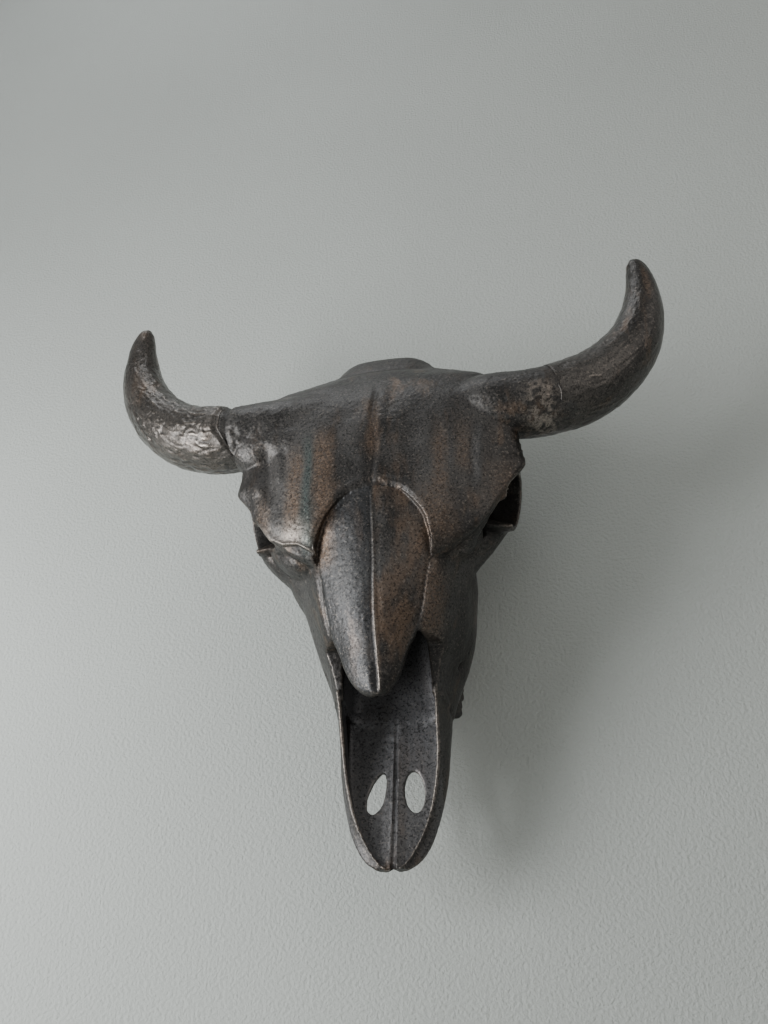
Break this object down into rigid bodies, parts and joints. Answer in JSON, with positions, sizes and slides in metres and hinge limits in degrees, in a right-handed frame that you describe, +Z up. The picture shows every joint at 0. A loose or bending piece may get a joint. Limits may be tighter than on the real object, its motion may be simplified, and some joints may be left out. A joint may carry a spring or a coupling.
{
  "type": "cast-metal bison skull wall mount",
  "caption": "Life-size cast-metal bison skull with horns, hung nose down on a wall by a keyhole plate behind the braincase.",
  "frame": {"origin": "centre of the hanging plate's back face, on the wall's plane", "axes": "+Y into the wall, +Z up towards the horns' crown, +X to the viewer's right across the horns; the nose hangs down along -Z"},
  "size_m": [0.6314, 0.2088, 0.6258],
  "materials": {
    "dark_bronze": "dark patinated bronze casting, satin with rubbed copper-brown streaks",
    "nasal_bronze": "patinated bronze casting, rubbed a little brighter",
    "horn_bronze": "dark patinated bronze casting with lengthwise wrinkles",
    "steel": "plain zinc-plated steel"
  },
  "bodies": {
    "root": {"frontal": "dark_bronze", "braincase": "dark_bronze", "upper_jaw": "dark_bronze", "cheek_arch_left": "dark_bronze", "cheek_arch_right": "dark_bronze", "nasal_left": "nasal_bronze", "nasal_right": "nasal_bronze", "premaxilla_left": "dark_bronze", "premaxilla_right": "dark_bronze", "tooth_row_left": "nasal_bronze", "tooth_row_right": "nasal_bronze", "horn_burr_left": "dark_bronze", "horn_burr_right": "dark_bronze", "horn_left": "horn_bronze", "horn_right": "horn_bronze", "hanger_lug": "dark_bronze", "hanger_plate": "steel", "hanger_screw_upper": "steel", "hanger_screw_lower": "steel"}
  },
  "joints": []
}
